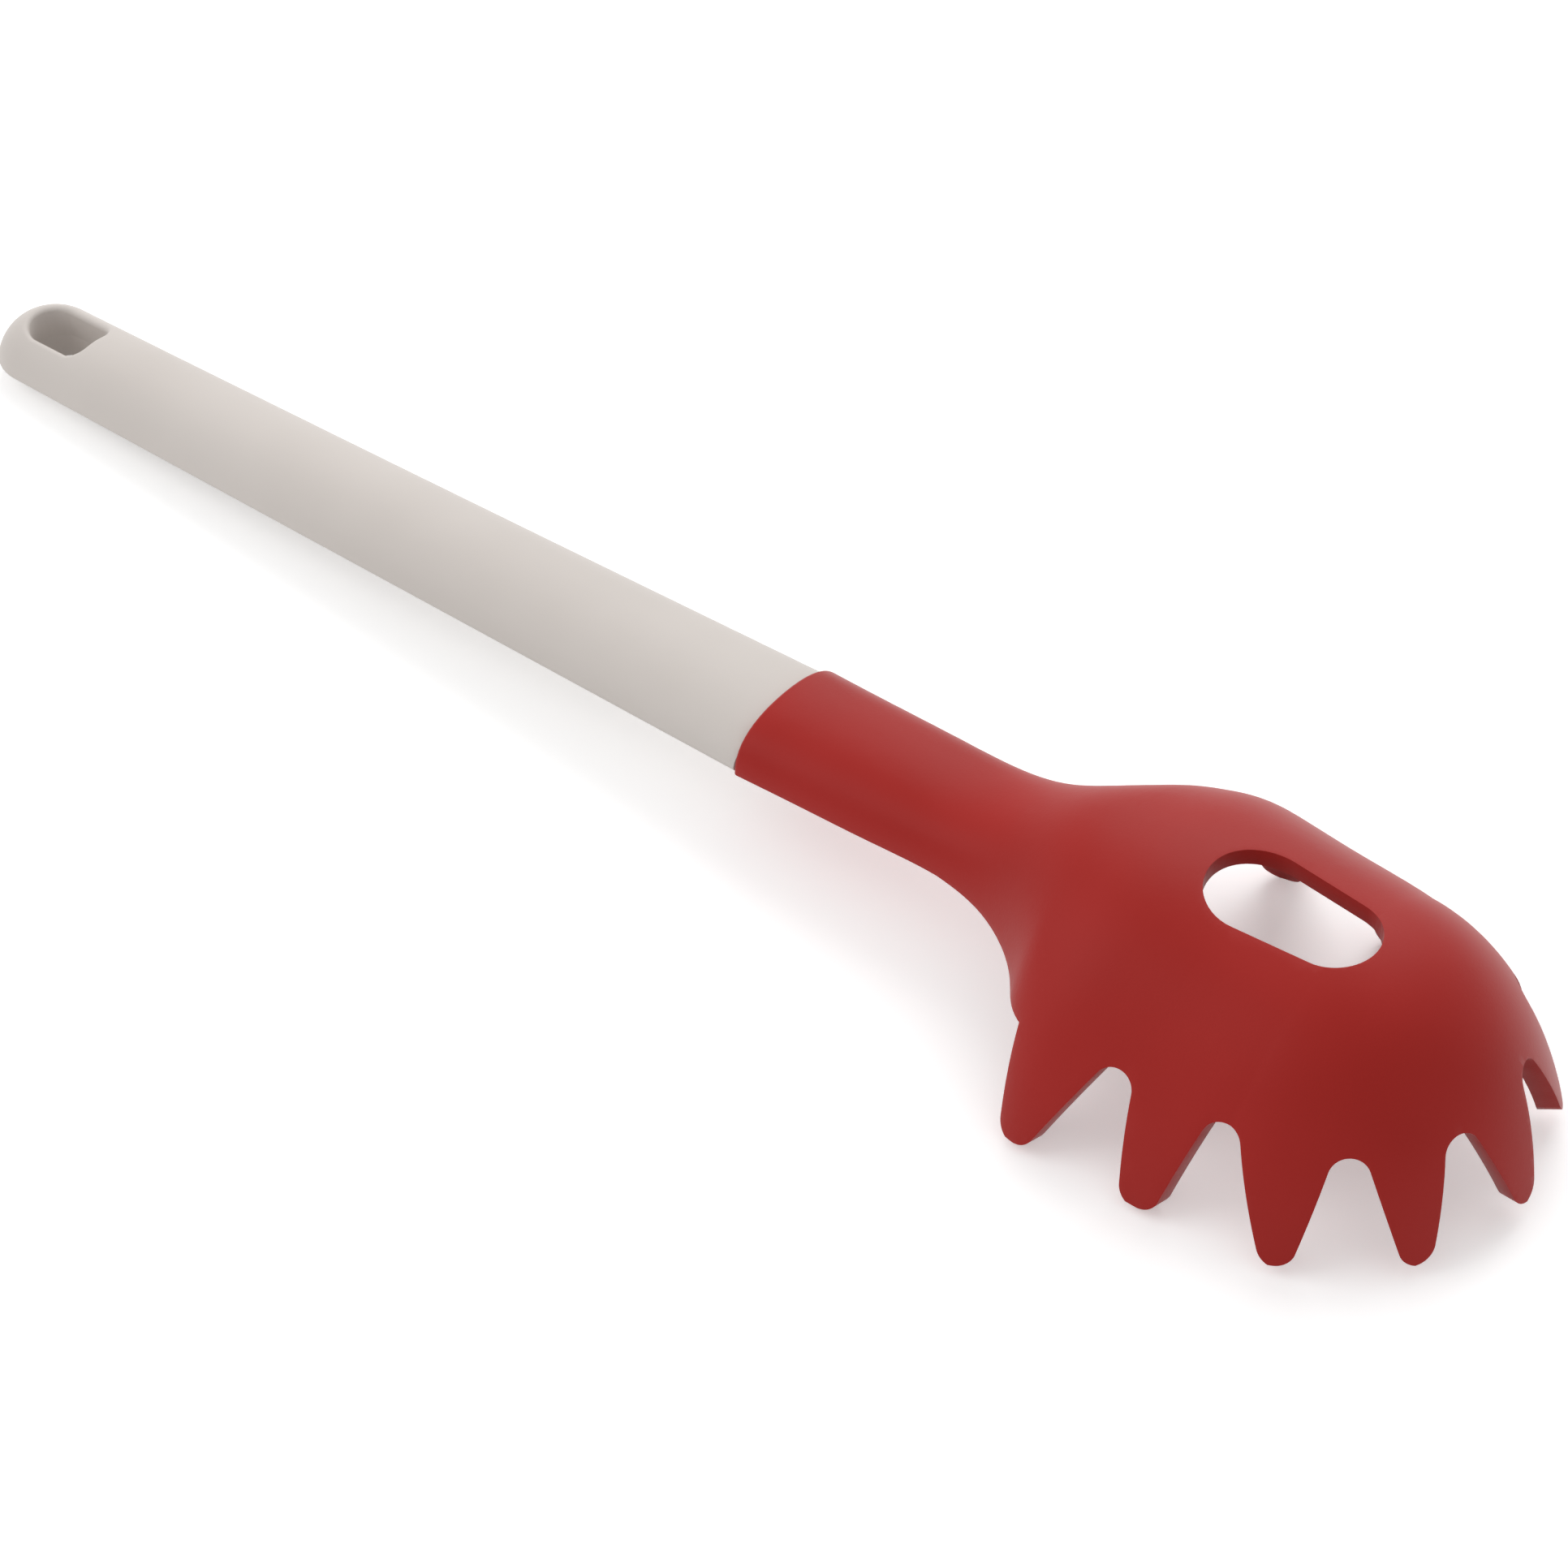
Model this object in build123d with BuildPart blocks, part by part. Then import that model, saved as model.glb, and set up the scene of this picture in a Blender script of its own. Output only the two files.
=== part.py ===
from build123d import *
from math import asin, atan2, cos, degrees, hypot, pi, radians, sin, sqrt, tan
import os

# Pasta server: a red scoop with nine tines and a drain slot, on a hollow grey handle.
# Millimetres. X runs along the tool with the scoop at +X, Y across it, Z up. The origin lies
# under the middle of the tool, on the table that the tine tips and the handle's end rest on.

# Lengths along the tool, from the handle's end to the front of the scoop
handle_length = 168.2
neck_length = 36.9
shoulder_length = 26.4
bowl_length = 33.9
nose_radius = 32.9

# The handle and the neck rise from the table at this angle, in degrees
tilt = 3.3

# Half widths of the red moulding
sleeve_half_width = 12.2
waist_half_width = 11.4
bowl_half_width = 35.1

# Heights of the red moulding's crown line above the table
sleeve_crown = 19.92
waist_crown = 22.57
bowl_crown = 31.65
nose_crown = 33.1

# Walls of the bowl, and the rim's height where the first tine begins
bowl_wall = 3.4
bowl_roof = 2.7
rim_height = 15.65
scoop_root = 2.4

# Cross sections: how far the side climbs before it bends, how far out the crown stays flat,
# and by how many degrees the side leans in
neck_rise_share = 0.56
neck_flat_share = 0.72
bowl_rise_share = 0.2
bowl_flat_share = 0.76
bowl_lean = 10.0
nose_lean = 16.0

# Along the neck: place, half width and crown, each from the sleeve's value to the waist's
neck_shares = [(0.26, 0.34, 0.2), (0.68, 0.79, 0.58)]
# Along the shoulder: place, half width, crown, drop of the lower edge and fullness of the
# section, then its flat crown, and the thickness of side and roof beside the bowl's
shoulder_shares = [
    (0.30, 0.065, 0.29, 0.09, 0.15, 0.72, 1.1, 1.7),
    (0.56, 0.235, 0.66, 0.28, 0.4, 0.76, 1.4, 1.2),
    (0.78, 0.52, 0.89, 0.6, 0.7, 0.81, 1.6, 1.03),
    (1.0, 0.91, 1.0, 1.0, 1.0, 0.775, 1.25, 1.0),
]
# Along the bowl: place, half width and crown, each from the shoulder's value to the nose's
bowl_shares = [(0.12, 0.05, 0.47), (0.34, 0.08, 0.89), (0.67, 0.58, 1.0), (1.0, 1.0, 1.0)]
# Rear rim: place along the shoulder and climb, each from the waist's value to the rim's
rim_shares = [(0.43, 0.09), (0.72, 0.48)]

# Nine tines along the rim, spaced from the middle of the front, and the gaps between them. They
# are cut square to the flared wall, so a tip rests on its inner edge. Heights are measured up
# the flare. The tips lift a little from the table towards the front.
tine_pitch = 20.1
tip_radius = 3.1
notch_radius = 2.9
notch_top = 19.9
gap_slant = 22.0
tip_rest_share = 0.87
front_lift = 2.4
# From the middle of the front back: each tine's place in tine pitches and its lift, then each
# gap's place in tine pitches and its height beside the highest
tine_place_shares = [0.0, 0.99, 1.982, 3.02, 4.0]
tip_lift_shares = [1.0, 0.78, 0.55, 0.0, 0.0]
gap_place_shares = [0.522, 1.512, 2.594, 3.43]
gap_height_shares = [0.98, 0.975, 0.97, 0.965]

# Drain slot in the roof, measured back from the axis of the round front
slot_rear = 14.5
slot_front = 2.6
slot_rear_radius = 7.7
slot_front_radius = 6.7

# Sleeve that holds the handle's tongue
tongue_length = 14.0
tongue_step = 1.5
tongue_clearance = 0.15
sleeve_rounding = 0.8

# Handle
handle_end_half_width = 9.3
handle_joint_half_width = 11.9
handle_end_height = 7.8
handle_joint_height = 6.0
handle_end_shares = (0.1, 0.8)
handle_joint_shares = (0.32, 0.62)
handle_edge_rounding = 0.8
handle_wall = 2.2

# Hanging hole, measured from the handle's end
hole_rear = 6.6
hole_front = 20.5
hole_half_width = 4.3
hole_corner = 2.6
hole_wall = 2.4
hole_rounding = 0.8

# Base let into the handle's underside, with a round belly that is deepest at the end
base_thickness = 1.4
base_rim = 1.3
base_clearance = 0.1
end_belly = 3.4
joint_belly = 0.4

# How far a cut runs past what it cuts, and what a loft leaves below the neck for the cut
overrun = 6.0
under_stock = 0.6

# Places along X
overall_length = handle_length + neck_length + shoulder_length + bowl_length + nose_radius
rear_x = -overall_length / 2
waist_x = rear_x + handle_length + neck_length
bowl_x = waist_x + shoulder_length
nose_x = bowl_x + bowl_length

# The handle's lower edges lie in a plane of its own. Its round end turns about an upright axis,
# and the belly below it is part of a ball there, which touches the table.
slope = radians(tilt)
end_axis = handle_end_half_width
base_end_radius = handle_end_half_width - base_rim
ball_radius = (base_end_radius**2 + end_belly**2) / (end_belly * 2)
ball_depth = sqrt(ball_radius**2 - (end_axis - hole_rear) ** 2) - (ball_radius - end_belly)
rear_height = ball_depth * cos(slope) - hole_rear * sin(slope)
handle_plane = Plane(
    origin=(rear_x, 0, rear_height), x_dir=(cos(slope), 0, sin(slope)), z_dir=(-sin(slope), 0, cos(slope))
)


def across_handle(along):
    """Plane square to the handle, at a distance from its end, with its X across the tool."""
    centre = handle_plane.from_local_coords((along, 0, 0))
    return Plane(origin=centre, x_dir=(0, 1, 0), z_dir=handle_plane.x_dir)


def underside(x):
    """Height of the flat underside of the handle and the neck."""
    return rear_height + (x - rear_x) * tan(slope)


def between(start, end, share):
    return start + (end - start) * share


def half_section(half_width, under, crown, rise_share, flat_share, lean):
    """Control points of half a cross section, from its lower edge up to the crown line."""
    rise = (crown - under) * rise_share
    side = (half_width - rise * sin(radians(lean)), under + rise * cos(radians(lean)))
    return [(half_width, under), side, (half_width * flat_share, crown), (0, crown)]


def whole_face(half):
    """A section with its mirror image, over a flat underside."""
    mirrored = [(-y, z) for y, z in reversed(half)]
    with BuildSketch() as face:
        with BuildLine():
            Bezier(*half)
            Bezier(*mirrored)
            Line(mirrored[-1], half[0])
        make_face()
    return face.sketch


def half_face(half):
    """One half of a section, up to the line that it turns about."""
    with BuildSketch() as face:
        with BuildLine():
            Bezier(*half)
            Polyline(half[-1], (0, half[0][1]), half[0])
        make_face()
    return face.sketch


# Stations of the red moulding from the sleeve to the axis of the round front: place, then what
# half_section takes, then the inset of side and roof where it is hollow. It is lofted past
# both ends and cut back, so that it runs straight through them.
sleeve_x = rear_x + handle_length
neck_under = underside(waist_x) - under_stock
neck_shape = (neck_rise_share, neck_flat_share, 0)
stations = []
for x in (sleeve_x - neck_length / 2, sleeve_x - neck_length / 4, sleeve_x):
    stations.append((x, sleeve_half_width, underside(x) - under_stock, sleeve_crown, *neck_shape, 0, 0))
for place, width_share, crown_share in neck_shares:
    x = between(sleeve_x, waist_x, place)
    half_width = between(sleeve_half_width, waist_half_width, width_share)
    crown = between(sleeve_crown, waist_crown, crown_share)
    stations.append((x, half_width, underside(x) - under_stock, crown, *neck_shape, 0, 0))
stations.append((waist_x, waist_half_width, neck_under, waist_crown, *neck_shape, 0, 0))
for place, width_share, crown_share, drop_share, fullness, flat_share, *wall_shares in shoulder_shares:
    x = between(waist_x, bowl_x, place)
    side, roof = bowl_wall * wall_shares[0], bowl_roof * wall_shares[1]
    half_width = between(waist_half_width, bowl_half_width, width_share)
    under = between(neck_under, -under_stock, drop_share)
    crown = between(waist_crown, bowl_crown, crown_share)
    shape = (between(neck_rise_share, bowl_rise_share, fullness), flat_share, bowl_lean * fullness)
    stations.append((x, half_width, under, crown, *shape, side, roof))
for place, width_share, crown_share in bowl_shares:
    x = between(bowl_x, nose_x, place)
    half_width = between(bowl_half_width, nose_radius, width_share)
    crown = between(bowl_crown, nose_crown, crown_share)
    shape = (bowl_rise_share, bowl_flat_share, between(bowl_lean, nose_lean, place))
    stations.append((x, half_width, -under_stock, crown, *shape, bowl_wall, bowl_roof))
for x in (nose_x + nose_radius / 3, nose_x + nose_radius * 2 / 3):
    stations.append((x, nose_radius, -under_stock, nose_crown, *shape, bowl_wall, bowl_roof))

# The hollow inside the bowl, which starts as a shallow scoop under the neck
scoop_half_width = waist_half_width - bowl_wall
scoop = (scoop_half_width, neck_under - overrun, neck_under + under_stock * 2, *neck_shape)
hollow_stations = [(waist_x + scoop_root, *scoop)]
for x, half_width, under, crown, *shape, side, roof in stations:
    if side > 0:
        hollow_stations.append((x, half_width - side, under - under_stock, crown - roof, *shape))

with BuildPart() as hollow:
    for x, *section in hollow_stations:
        with BuildSketch(Plane.YZ.offset(x)):
            add(whole_face(half_section(*section)))
    loft()
    split(bisect_by=Plane.YZ.offset(nose_x), keep=Keep.BOTTOM)
    with BuildSketch(Plane.YZ.offset(nose_x)):
        add(half_face(half_section(*section)))
    revolve(axis=Axis((nose_x, 0, 0), (0, 0, 1)), revolution_arc=-180)


# Cross sections of the handle, seen along it, with a rounded lower edge
def handle_face(share, inset, under, both_sides):
    """Section at a share of the way from the round end to the sleeve, inset from the outside."""
    half_width = between(handle_end_half_width, handle_joint_half_width, share) - inset
    height = between(handle_end_height, handle_joint_height, share) - inset
    rise_share = between(handle_end_shares[0], handle_joint_shares[0], share)
    flat_share = between(handle_end_shares[1], handle_joint_shares[1], share)
    corner = handle_edge_rounding
    half = half_section(half_width, under + corner, height, rise_share, flat_share, 0)
    with BuildSketch() as face:
        with BuildLine():
            Bezier(*half)
            CenterArc((half_width - corner, under + corner), corner, -90, 90)
            Polyline((half_width - corner, under), (0, under), half[-1])
        make_face()
        if both_sides:
            mirror(about=Plane.YZ)
    return face.sketch


# Tines and the gaps between them, as outlines seen square to the flared wall
quarter = nose_radius * pi / 2
slant = radians(gap_slant)
tip_rest = bowl_wall * tip_rest_share * sin(slant)
tines = []
for place_share, lift_share in zip(tine_place_shares, tip_lift_shares):
    tines.append((tine_pitch * place_share, tip_radius + tip_rest + front_lift * lift_share))


def rim_point(along):
    """Point on the near side's rim, at a distance from the middle of the front."""
    if along < quarter:
        turn = along / nose_radius
        return Vector(nose_x + nose_radius * cos(turn), -nose_radius * sin(turn), 0)
    half_width = between(nose_radius, bowl_half_width, (along - quarter) / bowl_length)
    return Vector(nose_x - (along - quarter), -half_width, 0)


def wall_plane(along):
    """Plane that leans with the near side's wall, with its X along the rim towards the front."""
    turn = min(along, quarter) / nose_radius
    outward = Vector(cos(turn), -sin(turn), 0) * cos(slant) + Vector(0, 0, sin(slant))
    return Plane(origin=rim_point(along), x_dir=(sin(turn), cos(turn), 0), z_dir=outward)


def gap_outline(plane, rear_tine, front_tine, gap_top):
    """Gap with a round top between two round tips, and the space below the tips themselves."""
    left, left_height = plane.to_local_coords(rim_point(rear_tine[0])).X, rear_tine[1]
    right, right_height = plane.to_local_coords(rim_point(front_tine[0])).X, front_tine[1]
    top_height = gap_top - notch_radius
    reach = tip_radius + notch_radius
    left_climb = top_height - left_height
    right_climb = top_height - right_height
    left_angle = degrees(atan2(left_climb, -left) + asin(reach / hypot(left, left_climb)))
    right_angle = degrees(atan2(right_climb, -right) - asin(reach / hypot(right, right_climb)))
    with BuildSketch() as gap:
        with BuildLine():
            left_tip = CenterArc((left, left_height), tip_radius, -90, left_angle)
            top = CenterArc((0, top_height), notch_radius, left_angle + 90, right_angle - left_angle - 180)
            right_tip = CenterArc((right, right_height), tip_radius, right_angle + 90, 180 - right_angle)
            Line(left_tip @ 1, top @ 0)
            Line(top @ 1, right_tip @ 0)
            far_right = right + tip_radius
            far_left = left - tip_radius
            below_right = Line(right_tip @ 1, (far_right, right_height - tip_radius))
            below_left = Line((far_left, left_height - tip_radius), left_tip @ 0)
            Polyline(below_right @ 1, (far_right, -overrun), (far_left, -overrun), below_left @ 0)
        make_face()
    return gap.sketch


def rear_edge_outline():
    """Space behind the first tine, on the plane that leans with the wall there."""
    tip_height = tines[-1][1]
    away = (rim_point(tines[-1][0]).X - bowl_x, tip_height - rim_height / cos(slant))
    edge_angle = degrees(atan2(away[1], away[0]) - asin(tip_radius / hypot(*away)))
    with BuildSketch() as space:
        with BuildLine():
            tip = CenterArc((0, tip_height), tip_radius, edge_angle - 90, -edge_angle)
            Polyline(tip @ 1, (0, -overrun), (-away[0], -overrun), (-away[0], tip_height - away[1]), tip @ 0)
        make_face()
    return space.sketch


def rear_outline():
    """Space below the neck and the rear rim, up to the rear edge of the first tine."""
    first_tine = rim_point(tines[-1][0]).X
    away = (first_tine - bowl_x, tip_radius - rim_height)
    edge_angle = degrees(atan2(away[1], away[0]) - asin(tip_radius / hypot(*away)))
    low = underside(waist_x)
    rim_points = [(between(waist_x, bowl_x, a), between(low, rim_height, b)) for a, b in rim_shares]
    start_x = sleeve_x - neck_length
    with BuildSketch() as space:
        with BuildLine():
            neck_line = Line((start_x, underside(start_x)), (waist_x, low))
            rim = Spline(neck_line @ 1, *rim_points, (bowl_x, rim_height))
            tip = CenterArc((first_tine, tip_radius), tip_radius, -90, edge_angle)
            Line(rim @ 1, tip @ 1)
            Polyline(tip @ 0, (first_tine, -overrun), (start_x, -overrun), neck_line @ 0)
        make_face()
    return space.sketch


# Everything that is cut from between the tines, on both sides
with BuildPart() as gaps:
    for count, (place_share, height_share) in enumerate(zip(gap_place_shares, gap_height_shares)):
        plane = wall_plane(tine_pitch * place_share)
        with BuildSketch(plane):
            add(gap_outline(plane, tines[count + 1], tines[count], notch_top * height_share))
        extrude(amount=bowl_wall + overrun, both=True)
    with BuildSketch(wall_plane(tines[-1][0])):
        add(rear_edge_outline())
    extrude(amount=bowl_wall + overrun, both=True)
    mirror(about=Plane.XZ)

with BuildPart() as head:
    for x, *section, side, roof in stations:
        with BuildSketch(Plane.YZ.offset(x)):
            add(whole_face(half_section(*section)))
    loft()
    split(bisect_by=Plane.YZ.offset(nose_x), keep=Keep.BOTTOM)
    with BuildSketch(Plane.YZ.offset(nose_x)):
        add(half_face(half_section(*section)))
    revolve(axis=Axis((nose_x, 0, 0), (0, 0, 1)), revolution_arc=-180)
    add(hollow.part, mode=Mode.SUBTRACT)
    # Space below the neck and behind the first tines, then the gaps
    with BuildSketch(Plane.XZ):
        add(rear_outline())
    extrude(amount=bowl_half_width + overrun, both=True, mode=Mode.SUBTRACT)
    add(gaps.part, mode=Mode.SUBTRACT)
    # Drain slot
    with BuildSketch(Plane.XY.offset(notch_top * cos(slant))):
        with Locations((nose_x - slot_rear, 0)):
            Circle(slot_rear_radius)
        with Locations((nose_x - slot_front, 0)):
            Circle(slot_front_radius)
        make_hull()
    extrude(amount=nose_crown, mode=Mode.SUBTRACT)
    # Rim of the sleeve, square to the handle, with its domed edge rounded
    split(bisect_by=across_handle(handle_length), keep=Keep.TOP)
    fillet(head.faces().sort_by(Axis.X)[0].edges().sort_by(Axis.Z)[-1], sleeve_rounding)
    # Socket for the handle's tongue
    with BuildSketch(across_handle(handle_length)):
        add(handle_face(1, tongue_step - tongue_clearance, tongue_step - tongue_clearance, True))
    extrude(amount=tongue_length + tongue_clearance, mode=Mode.SUBTRACT)
head.part.label = "head"


# Outlines on the handle's underside
def base_outline(gap):
    """Recess for the base inside the shell's rim, with a gap round it."""
    front = handle_length - base_rim + gap
    end_radius = base_end_radius + gap
    taper = (handle_joint_half_width - handle_end_half_width) / (handle_length - end_axis)
    front_half = end_radius + (front - end_axis) * taper
    with BuildSketch() as outline:
        with BuildLine():
            end = ThreePointArc((end_axis, end_radius), (end_axis - end_radius, 0), (end_axis, -end_radius))
            Polyline(end @ 1, (front, -front_half), (front, front_half), end @ 0)
        make_face()
    return outline.sketch


def hole_outline():
    """Hanging hole, half round at the rear and straight at the front."""
    middle = hole_rear + hole_half_width
    with BuildSketch() as outline:
        with Locations((middle, 0)):
            Circle(hole_half_width)
            Rectangle(hole_front - middle, hole_half_width * 2, align=(Align.MIN, Align.CENTER))
        fillet(outline.vertices().group_by(Axis.X)[-1], hole_corner)
    return outline.sketch


# Grey shell of the handle, from its round end to the tongue, hollow from below
with BuildPart() as handle_shell:
    for along, share in ((end_axis, 0), (handle_length, 1)):
        with BuildSketch(across_handle(along)):
            add(handle_face(share, 0, 0, True))
    loft()
    with BuildSketch(across_handle(end_axis)):
        add(handle_face(0, 0, 0, False))
    revolve(axis=Axis(across_handle(end_axis).origin, handle_plane.z_dir), revolution_arc=180)
    with BuildSketch(across_handle(handle_length)):
        add(handle_face(1, tongue_step, tongue_step, True))
    extrude(amount=tongue_length)
    # Hollow between the hanging hole and the tongue
    hollow_start = hole_front + hole_wall
    hollow_end = handle_length - handle_wall
    for along in (hollow_start, hollow_end):
        with BuildSketch(across_handle(along)):
            add(handle_face((along - end_axis) / (handle_length - end_axis), handle_wall, 0, True))
    loft(mode=Mode.SUBTRACT)
    # Recess for the base
    with BuildSketch(handle_plane):
        add(base_outline(base_clearance))
    extrude(amount=base_thickness, mode=Mode.SUBTRACT)
    # Hanging hole, with the edge on the domed top rounded
    with BuildSketch(handle_plane):
        add(hole_outline())
    extrude(amount=handle_end_height + overrun, mode=Mode.SUBTRACT)
    beside_hole = (hole_half_width + handle_end_half_width) / 2
    curved_edges = handle_shell.edges(Select.LAST).filter_by(GeomType.BSPLINE)
    fillet(curved_edges.filter_by_position(Axis.Y, -beside_hole, beside_hole), hole_rounding)
handle_shell.part.label = "handle_shell"


def base_face(along, both_sides):
    """Section of the base: flat above, with a round belly below."""
    share = (along - end_axis) / (handle_length - end_axis)
    half_width = between(handle_end_half_width, handle_joint_half_width, share) - base_rim
    belly = between(end_belly, joint_belly, share)
    with BuildSketch() as face:
        with BuildLine():
            round_side = ThreePointArc((-half_width, 0), (0, -belly), (half_width, 0))
            top = Line((half_width, base_thickness), (-half_width, base_thickness))
            Line(round_side @ 1, top @ 0)
            Line(top @ 1, round_side @ 0)
        make_face()
        if not both_sides:
            split(bisect_by=Plane.YZ)
    return face.sketch


# Base that closes the handle from below, with a belly that fills the palm
with BuildPart() as handle_base:
    for along in (end_axis, handle_length - base_rim):
        with BuildSketch(across_handle(along)):
            add(base_face(along, True))
    loft()
    with BuildSketch(across_handle(end_axis)):
        add(base_face(end_axis, False))
    revolve(axis=Axis(across_handle(end_axis).origin, handle_plane.z_dir), revolution_arc=180)
    # Hanging hole
    with BuildSketch(handle_plane):
        add(hole_outline())
    extrude(amount=end_belly + overrun, both=True, mode=Mode.SUBTRACT)
handle_base.part.label = "handle_base"

os.makedirs("parts", exist_ok=True)
export_step(head.part, "parts/head.step")
export_step(handle_shell.part, "parts/handle_shell.step")
export_step(handle_base.part, "parts/handle_base.step")
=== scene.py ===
import bmesh
import bpy
from math import radians
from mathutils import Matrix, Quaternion, Vector


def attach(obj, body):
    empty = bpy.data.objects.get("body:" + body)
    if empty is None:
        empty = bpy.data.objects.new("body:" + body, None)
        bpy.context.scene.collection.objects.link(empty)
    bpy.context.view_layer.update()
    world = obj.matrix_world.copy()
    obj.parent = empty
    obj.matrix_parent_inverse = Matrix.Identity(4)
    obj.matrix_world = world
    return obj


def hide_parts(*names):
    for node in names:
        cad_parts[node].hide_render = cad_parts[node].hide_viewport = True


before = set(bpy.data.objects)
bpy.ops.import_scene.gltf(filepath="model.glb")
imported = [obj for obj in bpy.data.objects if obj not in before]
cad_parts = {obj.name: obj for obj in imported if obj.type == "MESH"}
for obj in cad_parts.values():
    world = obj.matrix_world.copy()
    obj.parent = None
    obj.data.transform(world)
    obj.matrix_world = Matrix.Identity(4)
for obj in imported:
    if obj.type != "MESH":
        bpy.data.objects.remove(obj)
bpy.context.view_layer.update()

# Head: the scoop with its tines, drain slot, shoulders, neck and sleeve, moulded in one piece
# from glass-filled nylon of a deep red. Its skin is the fine satin of a spark-eroded mould, and
# its sharp edges are broken only as far as the fine facets of the solid leave room for.
merge_distance = 0.00002
edge_angle = radians(32)
easing = 0.0004
easing_segments = 3
head_red = (0.375, 0.019, 0.015, 1)
head_red_deep = (0.335, 0.014, 0.01, 1)


def eased_copy(node, name):
    """Closed, smooth-shaded copy of a moulding, with a bevel that the facets hold very small."""
    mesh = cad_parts[node].data.copy()
    mesh.materials.clear()
    moulding = bmesh.new()
    moulding.from_mesh(mesh)
    bmesh.ops.remove_doubles(moulding, verts=moulding.verts, dist=merge_distance)
    for face in moulding.faces:
        face.smooth = True
    moulding.to_mesh(mesh)
    moulding.free()
    piece = bpy.data.objects.new(name, mesh)
    bpy.context.scene.collection.objects.link(piece)
    broken_edges = piece.modifiers.new("broken_edges", "BEVEL")
    broken_edges.width = easing
    broken_edges.segments = easing_segments
    broken_edges.limit_method = "ANGLE"
    broken_edges.angle_limit = edge_angle
    broken_edges.use_clamp_overlap = True
    broken_edges.harden_normals = True
    return piece


grain_detail = 3
cloud_detail = 2
cloud_low = 0.35
cloud_high = 0.65
moulded_skin = bpy.data.node_groups.new("moulded_skin", "ShaderNodeTree")
for socket in ("Grain Scale", "Cloud Scale", "Roughness Low", "Roughness High"):
    moulded_skin.interface.new_socket(socket, in_out="INPUT", socket_type="NodeSocketFloat")
for socket in ("Grain Height", "Cloud", "Roughness"):
    moulded_skin.interface.new_socket(socket, in_out="OUTPUT", socket_type="NodeSocketFloat")
skin_in = moulded_skin.nodes.new("NodeGroupInput")
skin_out = moulded_skin.nodes.new("NodeGroupOutput")
skin_place = moulded_skin.nodes.new("ShaderNodeTexCoord")
grain = moulded_skin.nodes.new("ShaderNodeTexNoise")
grain.inputs["Detail"].default_value = grain_detail
cloud = moulded_skin.nodes.new("ShaderNodeTexNoise")
cloud.inputs["Detail"].default_value = cloud_detail
cloud_spread = moulded_skin.nodes.new("ShaderNodeMapRange")
cloud_spread.inputs["From Min"].default_value = cloud_low
cloud_spread.inputs["From Max"].default_value = cloud_high
roughness_spread = moulded_skin.nodes.new("ShaderNodeMapRange")
skin_links = moulded_skin.links
skin_links.new(skin_place.outputs["Object"], grain.inputs["Vector"])
skin_links.new(skin_place.outputs["Object"], cloud.inputs["Vector"])
skin_links.new(skin_in.outputs["Grain Scale"], grain.inputs["Scale"])
skin_links.new(skin_in.outputs["Cloud Scale"], cloud.inputs["Scale"])
skin_links.new(cloud.outputs["Fac"], cloud_spread.inputs["Value"])
skin_links.new(cloud_spread.outputs["Result"], skin_out.inputs["Cloud"])
skin_links.new(grain.outputs["Fac"], skin_out.inputs["Grain Height"])
skin_links.new(cloud_spread.outputs["Result"], roughness_spread.inputs["Value"])
skin_links.new(skin_in.outputs["Roughness Low"], roughness_spread.inputs["To Min"])
skin_links.new(skin_in.outputs["Roughness High"], roughness_spread.inputs["To Max"])
skin_links.new(roughness_spread.outputs["Result"], skin_out.inputs["Roughness"])
cloud_scale = 28
sheen_roughness = 0.4
grain_strength = 0.35


def moulded_plastic(name, colour, colour_deep, gloss, sheen, grain_scale, grain_depth, roughness_range):
    """Satin plastic: a faint cloud in its colour and gloss, over the fine grain of the mould."""
    material = bpy.data.materials.new(name)
    material.use_nodes = True
    nodes, links = material.node_tree.nodes, material.node_tree.links
    shader = nodes["Principled BSDF"]
    shader.inputs["Specular IOR Level"].default_value = gloss
    shader.inputs["Sheen Weight"].default_value = sheen
    shader.inputs["Sheen Roughness"].default_value = sheen_roughness
    skin = nodes.new("ShaderNodeGroup")
    skin.node_tree = moulded_skin
    skin.inputs["Grain Scale"].default_value = grain_scale
    skin.inputs["Cloud Scale"].default_value = cloud_scale
    skin.inputs["Roughness Low"].default_value = roughness_range[0]
    skin.inputs["Roughness High"].default_value = roughness_range[1]
    tint = nodes.new("ShaderNodeMix")
    tint.data_type = "RGBA"
    tint.inputs["A"].default_value = colour_deep
    tint.inputs["B"].default_value = colour
    bump = nodes.new("ShaderNodeBump")
    bump.inputs["Strength"].default_value = grain_strength
    bump.inputs["Distance"].default_value = grain_depth
    links.new(skin.outputs["Cloud"], tint.inputs["Factor"])
    links.new(tint.outputs["Result"], shader.inputs["Base Color"])
    links.new(skin.outputs["Roughness"], shader.inputs["Roughness"])
    links.new(skin.outputs["Grain Height"], bump.inputs["Height"])
    links.new(bump.outputs["Normal"], shader.inputs["Normal"])
    return material


head = eased_copy("head", "head_moulding")
red_nylon = moulded_plastic("red_nylon", head_red, head_red_deep, gloss=0.14, sheen=0.16,
                            grain_scale=2600, grain_depth=0.00004, roughness_range=(0.42, 0.5))
head.data.materials.append(red_nylon)
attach(head, "root")
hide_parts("head")

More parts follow.
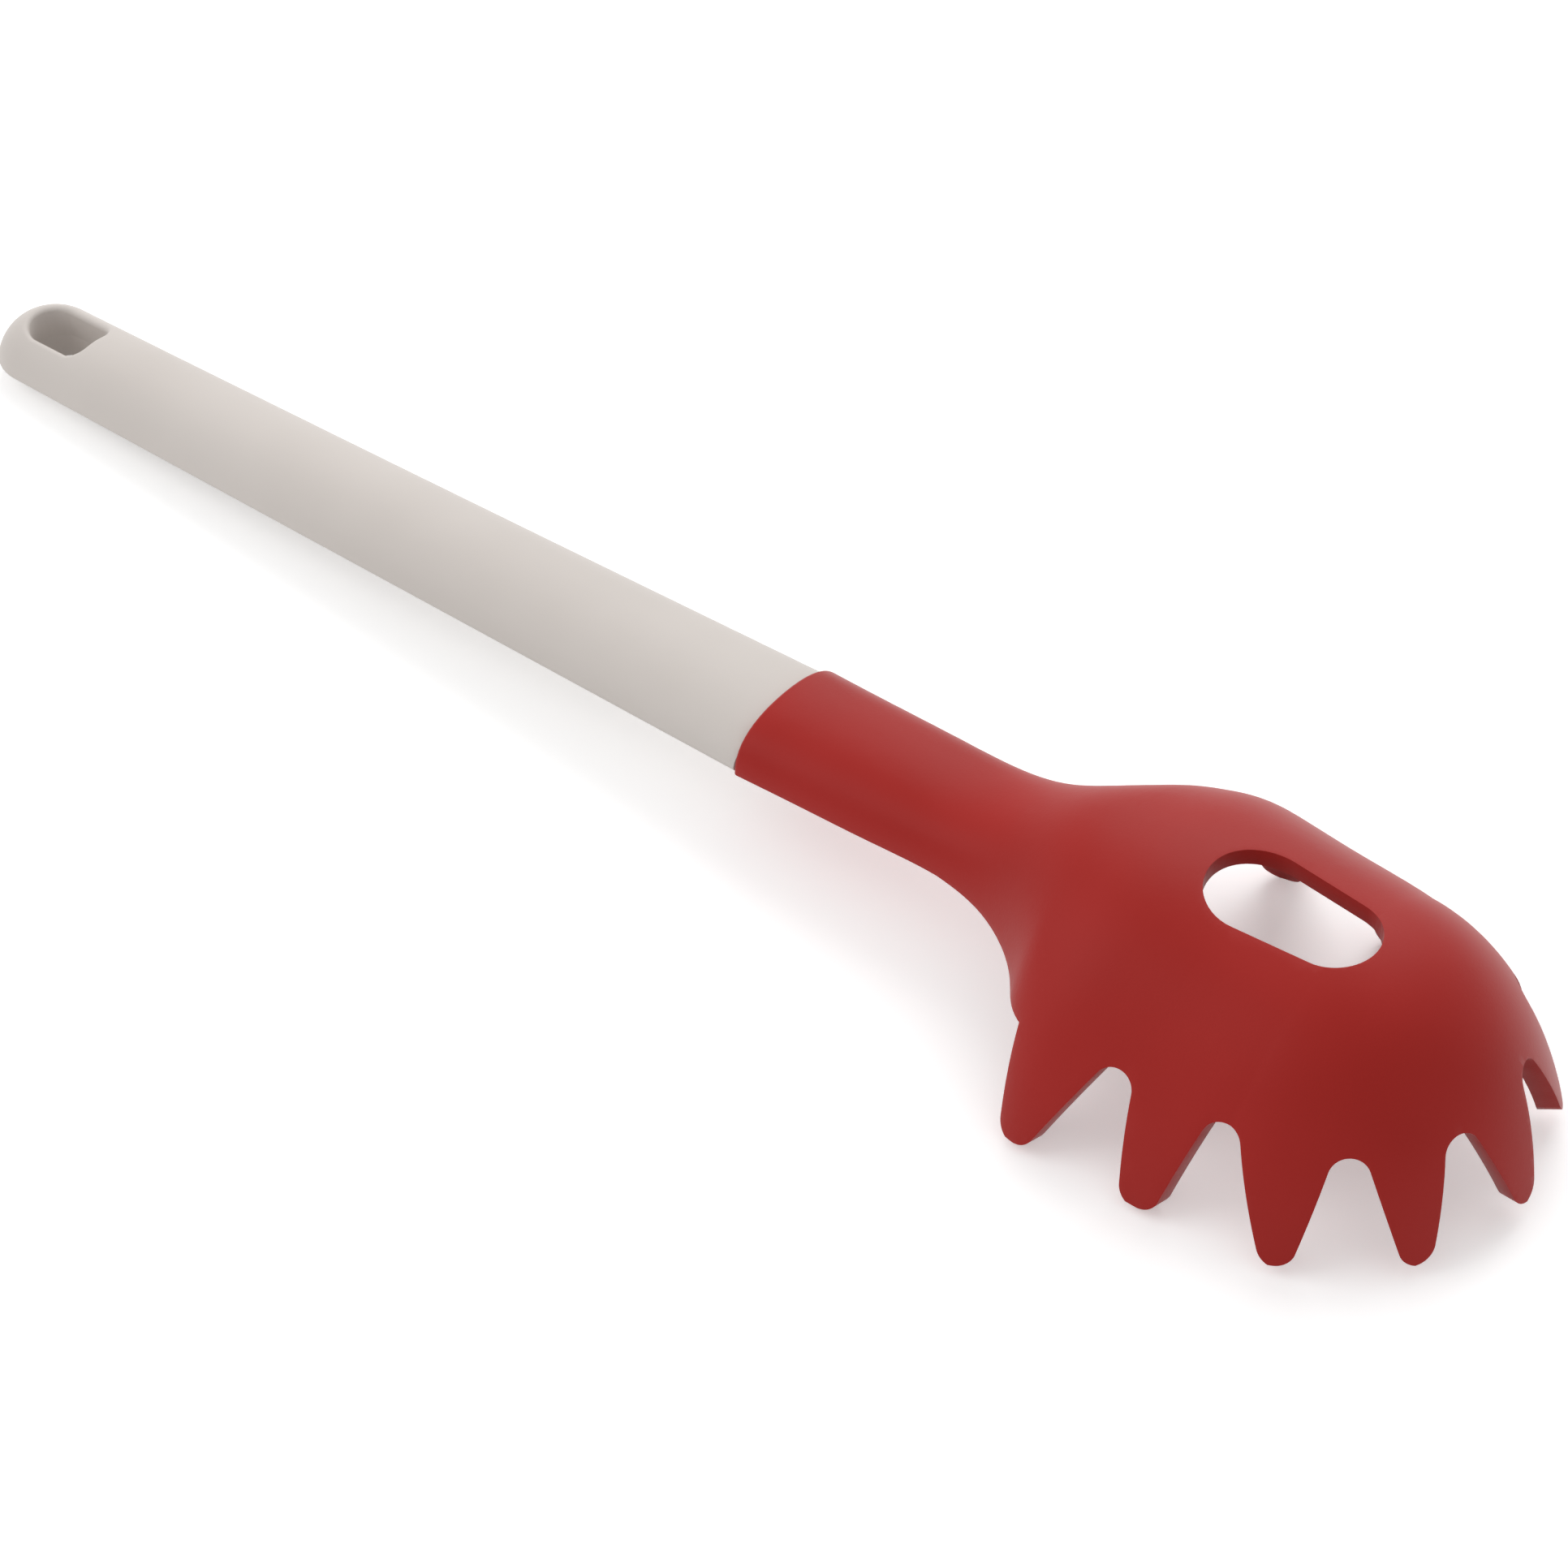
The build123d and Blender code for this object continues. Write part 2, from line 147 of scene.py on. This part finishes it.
# Handle: a domed shell and the base that closes it from below, both of a light warm grey
# plastic with a slightly duller skin than the head. The shell's tongue is pushed and welded into
# the head's sleeve, and the base is welded into the shell's recess.
grey = (0.63, 0.583, 0.548, 1)
grey_deep = (0.6, 0.553, 0.518, 1)
shell = eased_copy("handle_shell", "handle_shell_moulding")
grey_plastic = moulded_plastic("grey_plastic", grey, grey_deep, gloss=0.2, sheen=0.03,
                               grain_scale=2200, grain_depth=0.00003, roughness_range=(0.48, 0.56))
shell.data.materials.append(grey_plastic)
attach(shell, "root")
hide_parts("handle_shell")
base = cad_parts["handle_base"]
base.data.materials.clear()
base.data.materials.append(grey_plastic)

# Photographer's table: a plain white sheet that the tool lies on, wide enough to fill the
# photographed view. It keeps the tool's soft shadow, and what the camera or a gloss sees of it is
# lifted to white.
floor_half_size = 6
floor_colour = (0.9, 0.9, 0.9, 1)
floor_roughness = 0.9
floor_gloss = 0.1
floor_lift = 0.34
white = (1, 1, 1, 1)
sheet = bmesh.new()
bmesh.ops.create_grid(sheet, x_segments=1, y_segments=1, size=floor_half_size)
floor_mesh = bpy.data.meshes.new("floor")
sheet.to_mesh(floor_mesh)
sheet.free()
floor = bpy.data.objects.new("floor", floor_mesh)
bpy.context.scene.collection.objects.link(floor)
floor_paper = bpy.data.materials.new("floor_paper")
floor_paper.use_nodes = True
paper_nodes, paper_links = floor_paper.node_tree.nodes, floor_paper.node_tree.links
paper = paper_nodes["Principled BSDF"]
paper.inputs["Base Color"].default_value = floor_colour
paper.inputs["Roughness"].default_value = floor_roughness
paper.inputs["Specular IOR Level"].default_value = floor_gloss
seen = paper_nodes.new("ShaderNodeLightPath")
camera_or_gloss = paper_nodes.new("ShaderNodeMath")
camera_or_gloss.operation = "MAXIMUM"
lift = paper_nodes.new("ShaderNodeMath")
lift.operation = "MULTIPLY"
lift.inputs[1].default_value = floor_lift
paper.inputs["Emission Color"].default_value = white
paper_links.new(seen.outputs["Is Camera Ray"], camera_or_gloss.inputs[0])
paper_links.new(seen.outputs["Is Glossy Ray"], camera_or_gloss.inputs[1])
paper_links.new(camera_or_gloss.outputs["Value"], lift.inputs[0])
paper_links.new(lift.outputs["Value"], paper.inputs["Emission Strength"])
floor_mesh.materials.append(floor_paper)

# Studio light: a white room all round, a large soft box behind the tool that draws the pale
# sheen along its far side, and a weaker one over the camera's left shoulder.
room_strength = 0.62
room_seen_strength = 1
box_aim = (0.05, 0, 0.02)
room = bpy.data.worlds.new("white_room")
room.use_nodes = True
room_nodes, room_links = room.node_tree.nodes, room.node_tree.links
room_light = room_nodes["Background"]
room_light.inputs["Color"].default_value = white
room_light.inputs["Strength"].default_value = room_strength
room_seen = room_nodes.new("ShaderNodeBackground")
room_seen.inputs["Color"].default_value = white
room_seen.inputs["Strength"].default_value = room_seen_strength
room_path = room_nodes.new("ShaderNodeLightPath")
room_mix = room_nodes.new("ShaderNodeMixShader")
room_links.new(room_path.outputs["Is Camera Ray"], room_mix.inputs["Fac"])
room_links.new(room_light.outputs["Background"], room_mix.inputs[1])
room_links.new(room_seen.outputs["Background"], room_mix.inputs[2])
room_links.new(room_mix.outputs["Shader"], room_nodes["World Output"].inputs["Surface"])
bpy.context.scene.world = room


def soft_box(name, place, aim, size, power):
    """Square lamp at a place, facing a point on the tool."""
    lamp = bpy.data.lights.new(name, "AREA")
    lamp.size = size
    lamp.energy = power
    stand = bpy.data.objects.new(name, lamp)
    stand.location = place
    stand.rotation_euler = (Vector(aim) - Vector(place)).to_track_quat("-Z", "Y").to_euler()
    bpy.context.scene.collection.objects.link(stand)


soft_box("back_box", place=(-0.25, 0.75, 0.75), aim=box_aim, size=0.9, power=6)
soft_box("front_box", place=(-0.7, -0.6, 0.8), aim=box_aim, size=0.8, power=3.5)

# Camera: at the height and turn of the photograph, with a long lens.
camera_place = Vector((0.2905, -0.3270, 0.41944))
camera_aim = Vector((-0.00184, 0.02438, -0.03047))
camera_roll = radians(-0.32)
camera_lens = 91.44
sensor_width = 36
nearest_seen = 0.01
farthest_seen = 50
photographer = bpy.data.cameras.new("photographer")
photographer.lens = camera_lens
photographer.sensor_width = sensor_width
photographer.clip_start = nearest_seen
photographer.clip_end = farthest_seen
camera = bpy.data.objects.new("photographer", photographer)
camera.location = camera_place
turn = (camera_aim - camera_place).to_track_quat("-Z", "Y")
camera.rotation_mode = "QUATERNION"
camera.rotation_quaternion = turn @ Quaternion((0, 0, 1), camera_roll)
bpy.context.scene.collection.objects.link(camera)
bpy.context.scene.camera = camera
bpy.context.scene.view_settings.view_transform = "Standard"
